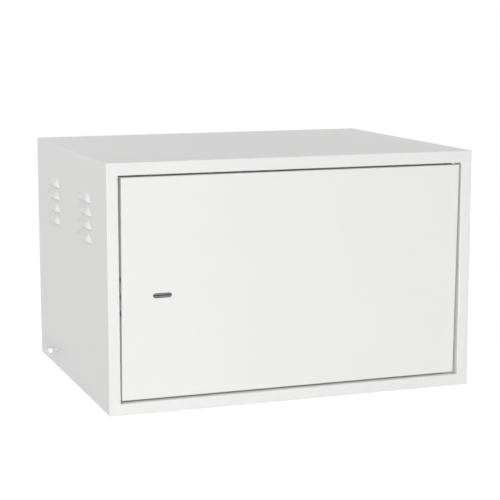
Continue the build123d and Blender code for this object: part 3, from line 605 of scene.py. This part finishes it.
def lathe(bm, place, profile, closed, turn_steps=TURN_STEPS):
    """Rings of points round a place's own Z axis. profile gives each ring as a function of the turn that
    returns its radius and height. The first and last ring are joined to each other, or each is closed by a
    flat face."""
    rings = []
    for ring_at in profile:
        points = []
        for i in range(turn_steps):
            turn = 2 * math.pi * i / turn_steps
            radius, height = ring_at(turn)
            point = Vector((radius * math.cos(turn), radius * math.sin(turn), height))
            points.append(bm.verts.new(place @ point))
        rings.append(points)
    pairs = list(zip(rings, rings[1:]))
    if closed:
        pairs.append((rings[-1], rings[0]))
    for lower, upper in pairs:
        for i in range(turn_steps):
            following = (i + 1) % turn_steps
            bm.faces.new([lower[i], lower[following], upper[following], upper[i]])
    if not closed:
        bm.faces.new(rings[0][::-1])
        bm.faces.new(rings[-1])


def hex_rings(across, height):
    """Rings of a hexagon's outside, from its lower face to its upper one, with the corners turned off."""
    flat = across / 2 * CHAMFER_FLAT

    def corner(turn, level, way):
        radius = hexagon_radius(turn, across)
        return radius, level + way * (radius - flat) * CHAMFER_SLOPE

    return [
        ring(flat, 0),
        lambda turn: corner(turn, 0, 1),
        lambda turn: corner(turn, height, -1),
        ring(flat, height),
    ]


def hex_nut(bm, place, size, across, bore):
    """A hexagon nut, chamfered on both faces, with a countersunk bore. bore is its radius."""
    sink = NUT_COUNTERSINK * across
    inside = [(bore + sink, size.z), (bore, size.z - sink), (bore, sink), (bore + sink, 0)]
    lathe(bm, place, hex_rings(across, size.z) + [ring(r, z) for r, z in inside], True)


def washer(bm, place, size, bore):
    """A flat washer, its outer edges rounded by the punch and the tumbling. bore is its hole's radius."""
    radius = size.x / 2
    edge = WASHER_EDGE * size.z
    profile = [(bore, 0), (radius - edge, 0), (radius, edge), (radius, size.z - edge)]
    profile += [(radius - edge, size.z), (bore, size.z)]
    lathe(bm, place, [ring(r, z) for r, z in profile], True)


def threaded_rod(bm, place, size, radius, pitch, start=0):
    """A threaded shank from a start on the place's Z axis to a chamfered tip at the solid's far end."""
    count = round((size.z - start) / pitch * THREAD_RINGS_PER_PITCH)
    depth = THREAD_DEPTH * pitch

    def level(i):
        z = start + (size.z - start) * i / count

        def rolled(turn):
            phase = (z / pitch - turn / (2 * math.pi)) % 1.0
            crest = radius - depth * abs(2 * phase - 1)
            return min(crest, radius - THREAD_TIP * depth + (size.z - z)), z

        return rolled

    lathe(bm, place, [level(i) for i in range(count + 1)], False, THREAD_TURN_STEPS)


def hex_bolt(bm, place, size, radius, pitch, across, head):
    """A hexagon bolt with its head at the place and its threaded tip at the solid's far end."""
    lathe(bm, place, hex_rings(across, head), False)
    threaded_rod(bm, place, size, radius, pitch, head)


def socket_screw(bm, place, size, radius, head_radius, head):
    """A round-headed screw with a hexagon socket, its tip at the place and its head at the far end."""
    top = size.z
    under = top - head
    edge = head / 2
    across = SCREW_SOCKET * head_radius
    quarter = [math.pi / 2 * i / SCREW_HEAD_STEPS for i in range(SCREW_HEAD_STEPS + 1)]
    profile = [(radius, 0), (radius, under), (head_radius, under)]
    profile += [(head_radius - edge * (1 - math.cos(a)), top - edge * (1 - math.sin(a))) for a in quarter]
    socket = [
        lambda turn: (hexagon_radius(turn, across), top),
        lambda turn: (hexagon_radius(turn, across), top - edge),
    ]
    lathe(bm, place, [ring(r, z) for r, z in profile] + socket, False)


def islands(bm):
    """The separate solids of a mesh, each as a list of its points."""
    seen = set()
    for first in bm.verts:
        if first in seen:
            continue
        seen.add(first)
        island = [first]
        for vert in island:
            for edge in vert.link_edges:
                other = edge.other_vert(vert)
                if other not in seen:
                    seen.add(other)
                    island.append(other)
        yield island


def solids(node, axis):
    """The separate solids of a node, each as a place and a size. The place is in the middle of the solid's
    near end, with Z along the axis, and turned so that a hexagon's flats face its X."""
    turn = axis.to_track_quat("Z", "Y").to_matrix()
    bm = bmesh.new()
    bm.from_mesh(frame["nodes"][node].data)
    bmesh.ops.remove_doubles(bm, verts=bm.verts, dist=WELD_DISTANCE)
    found = []
    for island in islands(bm):
        points = [turn.transposed() @ vert.co for vert in island]
        low = Vector([min(p[k] for p in points) for k in range(3)])
        high = Vector([max(p[k] for p in points) for k in range(3)])
        size = high - low
        flat_turn = Matrix.Rotation(math.pi / 6 if size.x > size.y else 0.0, 4, "Z")
        near_end = turn @ Vector((low.x + size.x / 2, low.y + size.y / 2, low.z))
        found.append((Matrix.Translation(near_end) @ turn.to_4x4() @ flat_turn, size))
    bm.free()
    return found


def fasteners(name, body, node, axis, shape, **sizes):
    """One piece for all the fasteners of a node, which point along an axis. Each is drawn by a shape."""
    bm = bmesh.new()
    for place, size in solids(node, axis):
        shape(bm, place, size, **sizes)
    make_piece(name, bm, body, "zinc_plated_steel", barrel_zinc, FASTENER_CREASE, node)


rightward = Vector((1, 0, 0))
leftward = Vector((-1, 0, 0))
forward = Vector((0, -1, 0))

# The door leaf leans with its hinge, and its lock's fasteners stand square to it
hinge = next(joint for joint in frame["record"]["behaviour"]["joints"] if joint["name"] == "door_hinge")
leaf_inward = Vector(hinge["axis"]).cross(rightward)

# Earthing stud, washer and nut, which point out of the left wall
fasteners(
    "threaded_ground_stud",
    "cabinet",
    "ground_stud",
    leftward,
    hex_bolt,
    radius=STUD_RADIUS,
    pitch=STUD_PITCH,
    across=NUT_ACROSS,
    head=STUD_HEAD,
)
fasteners("flat_ground_washer", "cabinet", "ground_washer", leftward, washer, bore=STUD_RADIUS)
fasteners(
    "chamfered_ground_nut",
    "cabinet",
    "ground_nut",
    leftward,
    hex_nut,
    across=NUT_ACROSS,
    bore=STUD_RADIUS,
)

# Bolts of the rack rails, which point away from the side wall that they are near, and their nuts
bm = bmesh.new()
for axis in (rightward, leftward):
    for place, size in solids("rail_bolts", axis):
        if place.translation.x * axis.x < 0:
            hex_bolt(bm, place, size, RAIL_BOLT_RADIUS, RAIL_BOLT_PITCH, RAIL_BOLT_ACROSS, RAIL_BOLT_HEAD)
make_piece(
    "rail_hexagon_bolts",
    bm,
    "cabinet",
    "zinc_plated_steel",
    barrel_zinc,
    FASTENER_CREASE,
    "rail_bolts",
)
fasteners(
    "rail_hexagon_nuts",
    "cabinet",
    "rail_nuts",
    rightward,
    hex_nut,
    across=RAIL_BOLT_ACROSS,
    bore=RAIL_BOLT_RADIUS,
)

# Screws of the cable entry plate, driven from inside the cabinet
fasteners(
    "entry_socket_screws",
    "cabinet",
    "entry_screws",
    forward,
    socket_screw,
    radius=ENTRY_SCREW_RADIUS,
    head_radius=ENTRY_SCREW_HEAD_RADIUS,
    head=ENTRY_SCREW_HEAD,
)

# Studs, nuts and cover screws of the lock
fasteners(
    "threaded_lock_studs",
    "door",
    "lock_studs",
    leaf_inward,
    threaded_rod,
    radius=LOCK_STUD_RADIUS,
    pitch=LOCK_STUD_PITCH,
)
fasteners(
    "lock_hexagon_nuts",
    "door",
    "lock_nuts",
    leaf_inward,
    hex_nut,
    across=LOCK_NUT_ACROSS,
    bore=LOCK_STUD_RADIUS,
)
fasteners(
    "cover_socket_screws",
    "door",
    "cover_screws",
    leaf_inward,
    socket_screw,
    radius=COVER_SCREW_RADIUS,
    head_radius=COVER_SCREW_HEAD_RADIUS,
    head=COVER_SCREW_HEAD,
)


# Studio: pale floor, white surroundings, soft lamps and the camera

WHITE = linear("FFFFFF")
FLOOR_REACH = 8.0
FLOOR_LIFT = 0.6
WHITE_FROM = 0.5
WHITE_BY = 1.4
SURROUNDING_LIGHT = 0.35


def direct_view(tree):
    """Socket that is 1 for the camera's rays, also by way of metal or glass, and 0 for light."""
    path = add(tree, "ShaderNodeLightPath")
    passed_on = add(
        tree,
        "ShaderNodeMath",
        {0: path.outputs["Is Glossy Ray"], 1: path.outputs["Is Transmission Ray"]},
        operation="MAXIMUM",
    )
    seen = add(
        tree,
        "ShaderNodeMath",
        {0: path.outputs["Is Camera Ray"], 1: passed_on.outputs[0]},
        operation="MAXIMUM",
    )
    return seen.outputs[0]


def white_floor():
    """Matt pale floor. The camera sees it lifted to white, with the shadow of the cabinet kept. Further from
    the middle it fades to plain white, so that it runs into the background."""
    material, tree, shader, place = new_material("matt_floor", Roughness=0.9)
    shader.inputs["Base Color"].default_value = linear("DCDCDC")
    lift = add(tree, "ShaderNodeEmission", {"Color": WHITE, "Strength": FLOOR_LIFT})
    lifted = add(tree, "ShaderNodeAddShader", {0: shader.outputs["BSDF"], 1: lift.outputs["Emission"]})
    white = add(tree, "ShaderNodeEmission", {"Color": WHITE, "Strength": 1.0})
    distance = add(tree, "ShaderNodeVectorMath", {0: place}, operation="LENGTH")
    far = add(
        tree,
        "ShaderNodeMapRange",
        {"Value": distance.outputs["Value"], "From Min": WHITE_FROM, "From Max": WHITE_BY},
    )
    shown = add(
        tree,
        "ShaderNodeMixShader",
        {0: far.outputs["Result"], 1: lifted.outputs["Shader"], 2: white.outputs["Emission"]},
    )
    choice = add(
        tree,
        "ShaderNodeMixShader",
        {0: direct_view(tree), 1: shader.outputs["BSDF"], 2: shown.outputs["Shader"]},
    )
    tree.links.new(choice.outputs["Shader"], tree.nodes["Material Output"].inputs["Surface"])
    return material


bm = bmesh.new()
bmesh.ops.create_grid(bm, x_segments=1, y_segments=1, size=FLOOR_REACH)
floor_mesh = bpy.data.meshes.new("floor")
bm.to_mesh(floor_mesh)
bm.free()
floor_mesh.materials.append(white_floor())
floor = bpy.data.objects.new("floor", floor_mesh)
scene.collection.objects.link(floor)

world = bpy.data.worlds.new("white_studio")
world.use_nodes = True
scene.world = world
sky = world.node_tree.nodes["Background"]
sky.inputs["Color"].default_value = WHITE
level = add(
    world.node_tree,
    "ShaderNodeMapRange",
    {"Value": direct_view(world.node_tree), "To Min": SURROUNDING_LIGHT, "To Max": 1.0},
)
world.node_tree.links.new(level.outputs["Result"], sky.inputs["Strength"])


def softbox(name, place, size, power, mirrored):
    """A square area lamp, turned to the middle of the cabinet. mirrored says whether surfaces reflect the
    lamp itself, or only the plain surroundings."""
    middle = (cad_box[0] + cad_box[1]) / 2
    lamp = bpy.data.lights.new(name, "AREA")
    lamp.shape = "SQUARE"
    lamp.size = size
    lamp.energy = power
    holder = bpy.data.objects.new(name, lamp)
    holder.location = place
    holder.visible_glossy = mirrored
    holder.rotation_euler = (middle - Vector(place)).to_track_quat("-Z", "Y").to_euler()
    scene.collection.objects.link(holder)


# The key lamp stands low in front, the only one that glints. The rear lamp serves the views from behind.
softbox("key_softbox", place=(-1.36, -5.0, 0.34), size=0.6, power=137, mirrored=True)
softbox("side_softbox", place=(-2.3, 0.15, 2.0), size=0.7, power=17.0, mirrored=False)
softbox("overhead_softbox", place=(0.55, 0.1, 2.6), size=1.6, power=5.0, mirrored=False)
softbox("rear_softbox", place=(2.4, 3.6, 1.0), size=1.6, power=60, mirrored=False)

# Camera at the photograph's viewpoint. Its lens and sensor are in millimetres.
CAMERA_PLACE = (-0.8682, -2.4179, 0.6112)
CAMERA_AZIMUTH = math.radians(19.947)
CAMERA_DROP = math.radians(9.042)
CAMERA_LENS = 111.04
CAMERA_SENSOR = 36.0

camera_data = bpy.data.cameras.new("camera")
camera_data.sensor_width = CAMERA_SENSOR
camera_data.lens = CAMERA_LENS
camera = bpy.data.objects.new("camera", camera_data)
camera.location = CAMERA_PLACE
camera.rotation_euler = (math.pi / 2 - CAMERA_DROP, 0, -CAMERA_AZIMUTH)
scene.collection.objects.link(camera)
scene.camera = camera
scene.view_settings.view_transform = "Standard"
